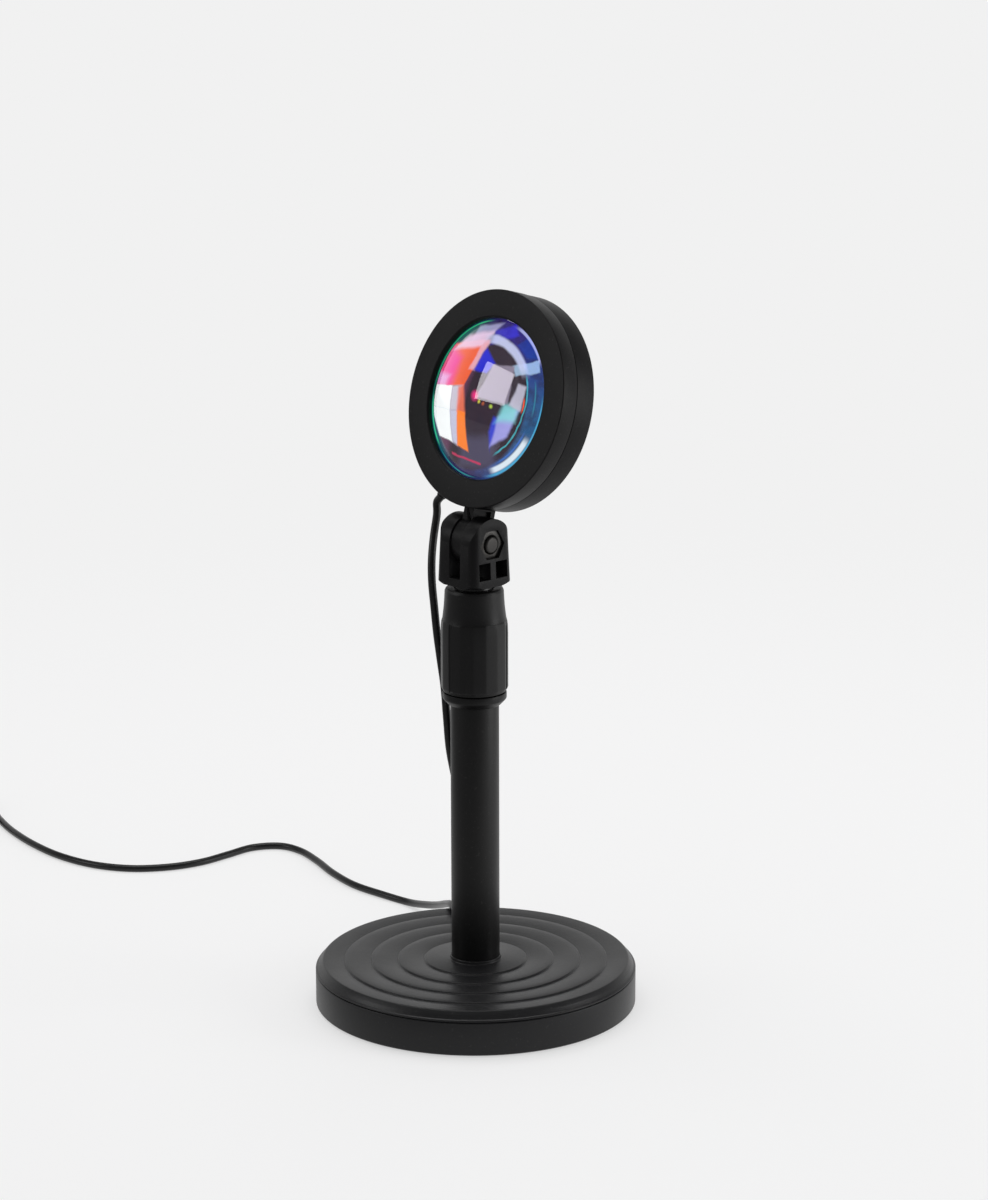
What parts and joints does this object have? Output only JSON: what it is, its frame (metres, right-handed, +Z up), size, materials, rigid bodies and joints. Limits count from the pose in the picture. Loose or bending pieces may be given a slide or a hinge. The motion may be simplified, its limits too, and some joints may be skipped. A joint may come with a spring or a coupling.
{
  "type": "sunset projection lamp",
  "caption": "Desk lamp that projects a coloured disc of light: weighted round base, telescopic pole with a twist lock, tilting round lens head, USB lead.",
  "frame": {"origin": "middle of the base on the table", "axes": "+Z up along the pole, the lens looks towards -Y at rest, the hinge bolt lies along X"},
  "size_m": [0.4241, 0.1526, 0.2675],
  "materials": {
    "base_plastic": "fine satin mould grain, black",
    "head_plastic": "fine satin mould grain, black",
    "grip_plastic": "satin, black",
    "pole_paint": "satin black powder coat",
    "inner_pole": "satin black",
    "ballast_steel": "raw stamped steel",
    "foam_pad": "matt closed-cell foam",
    "fastener_steel": "dark zinc",
    "nylon": "natural nylon",
    "lens_glass": "polished, clear",
    "filter_glass": "dichroic coated",
    "reflector_silver": "metallised plastic",
    "board_white": "white solder mask",
    "chip_yellow": "phosphor over a white frame",
    "receiver_epoxy": "dark epoxy",
    "spreader_aluminium": "plain sheet",
    "lead_insulation": "soft insulation, red",
    "cord_jacket": "semi-gloss jacket, black",
    "plug_steel": "nickel plated",
    "plug_plastic": "white insert",
    "contact_gold": "gold plated"
  },
  "bodies": {
    "root": {"base_shell": "base_plastic", "base_ballast": "ballast_steel", "base_pad": "foam_pad", "base_bolt": "fastener_steel", "base_washer": "fastener_steel", "tube_plug": "fastener_steel", "lower_tube": "pole_paint", "lock_collar": "grip_plastic", "cord_base_drop": "cord_jacket", "cord_floor": "cord_jacket", "cord_coil": "cord_jacket", "cord_tail": "cord_jacket", "plug_relief": "cord_jacket", "plug_body": "cord_jacket", "plug_shell": "plug_steel", "plug_tongue": "plug_plastic", "plug_contacts": "contact_gold"},
    "grip": {"grip_sleeve": "grip_plastic"},
    "collet": {"collet": "nylon", "cord_mast_drop": "cord_jacket"},
    "mast": {"inner_tube": "inner_pole", "stop_bush": "nylon", "fork": "grip_plastic", "hinge_bolt": "fastener_steel", "hinge_nut": "fastener_steel", "friction_washers": "nylon", "cord_head_drop": "cord_jacket"},
    "head": {"neck": "head_plastic", "bezel": "head_plastic", "rear_shell": "head_plastic", "shell_screws": "fastener_steel", "lens": "lens_glass", "lens_gasket": "foam_pad", "colour_filter": "filter_glass", "lens_retainer": "head_plastic", "reflector": "reflector_silver", "light_board": "board_white", "light_chips": "chip_yellow", "remote_receiver": "receiver_epoxy", "heat_spreader": "spreader_aluminium", "inner_leads": "lead_insulation", "cord_grommet": "cord_jacket"}
  },
  "joints": [
    {"name": "grip_twist", "type": "hinge", "parent": "root", "child": "grip", "pos_m": [0, 0, 0.14], "axis": [0, 0, 1], "range_deg": [0, 90]},
    {"name": "mast_swivel", "type": "hinge", "parent": "root", "child": "collet", "pos_m": [0, 0, 0.14], "axis": [0, 0, 1], "range_deg": [-180, 180], "deforming": ["cord_base_drop"]},
    {"name": "mast_slide", "type": "slide", "parent": "collet", "child": "mast", "axis": [0, 0, 1], "range_m": [0, 0.1], "deforming": ["cord_mast_drop"]},
    {"name": "head_tilt", "type": "hinge", "parent": "mast", "child": "head", "pos_m": [0, 0, 0.177], "axis": [1, 0, 0], "range_deg": [-75, 105], "deforming": ["cord_head_drop"]}
  ]
}
